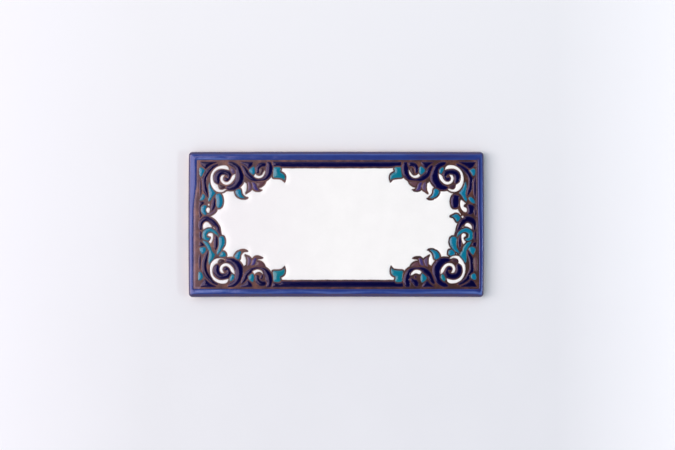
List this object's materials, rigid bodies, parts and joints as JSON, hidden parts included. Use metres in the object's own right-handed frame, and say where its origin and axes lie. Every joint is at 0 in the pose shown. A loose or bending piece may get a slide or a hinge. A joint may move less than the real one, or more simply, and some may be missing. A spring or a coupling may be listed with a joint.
{
  "type": "house name plaque",
  "caption": "Rectangular glazed ceramic tile plaque with a scrolled raised-glaze border round a plain white name field, made to be glued to a wall beside a door.",
  "frame": {"origin": "middle of the back face, on the wall's plane", "axes": "+X along the plaque to the reader's right, +Y up the plaque as it is read on a wall, +Z out of the glazed face"},
  "size_m": [0.2006, 0.0988, 0.008],
  "materials": {
    "glazed_tile": "gloss glaze, white field with cobalt, navy and turquoise ornament and bare brown lines"
  },
  "bodies": {
    "root": {"ceramic_tile": "glazed_tile"}
  },
  "joints": []
}
